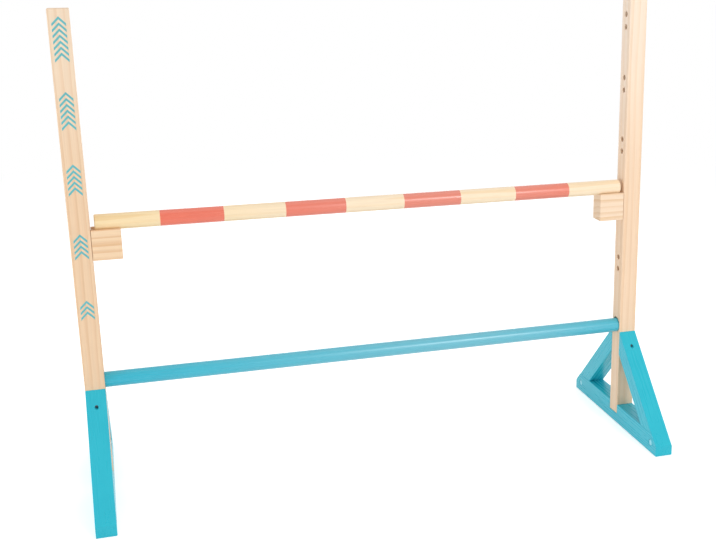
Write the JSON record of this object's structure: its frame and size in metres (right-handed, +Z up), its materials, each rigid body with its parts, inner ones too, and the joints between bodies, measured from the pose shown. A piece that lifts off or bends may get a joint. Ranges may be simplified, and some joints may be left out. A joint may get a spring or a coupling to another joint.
{
  "type": "wooden jump hurdle",
  "caption": "Free-standing wooden jump hurdle: square posts on A-shaped feet, a fixed lower bar and a banded crossbar resting on plug-in blocks.",
  "frame": {"origin": "on the floor in the middle of the hurdle, under the crossbar and halfway between the two posts", "axes": "+Z up, +X along the crossbar towards the right post, -Y towards the front that the picture shows"},
  "size_m": [1.078, 0.395, 0.863],
  "materials": {
    "pine": "planed pine under clear matt lacquer",
    "banded_pine": "clear lacquered dowel with four coral red painted bands",
    "turquoise_paint": "opaque turquoise satin paint on wood",
    "beech": "bare beech dowel",
    "steel": "black phosphated wood screws"
  },
  "bodies": {
    "stands": {"left_post": "pine", "right_post": "pine", "left_base_rail": "turquoise_paint", "right_base_rail": "turquoise_paint", "left_front_leg": "turquoise_paint", "left_rear_leg": "turquoise_paint", "right_front_leg": "turquoise_paint", "right_rear_leg": "turquoise_paint", "left_front_corner_dowel": "turquoise_paint", "left_rear_corner_dowel": "turquoise_paint", "right_front_corner_dowel": "turquoise_paint", "right_rear_corner_dowel": "turquoise_paint", "left_front_leg_screw": "steel", "left_rear_leg_screw": "steel", "right_front_leg_screw": "steel", "right_rear_leg_screw": "steel", "left_foot_screw": "steel", "right_foot_screw": "steel", "left_stretcher_screw": "steel", "right_stretcher_screw": "steel", "stretcher_bar": "turquoise_paint"},
    "crossbar_body": {"crossbar": "banded_pine"},
    "left_block": {"left_support_block": "pine", "left_lower_peg": "beech", "left_upper_peg": "beech"},
    "right_block": {"right_support_block": "pine", "right_lower_peg": "beech", "right_upper_peg": "beech"}
  },
  "joints": [
    {"name": "crossbar_lift", "type": "slide", "parent": "stands", "child": "crossbar_body", "axis": [0, 0, 1], "range_m": [0, 0.4]},
    {"name": "left_block_pull", "type": "slide", "parent": "stands", "child": "left_block", "axis": [1, 0, 0], "range_m": [0, 0.03]},
    {"name": "right_block_pull", "type": "slide", "parent": "stands", "child": "right_block", "axis": [-1, 0, 0], "range_m": [0, 0.03]}
  ]
}
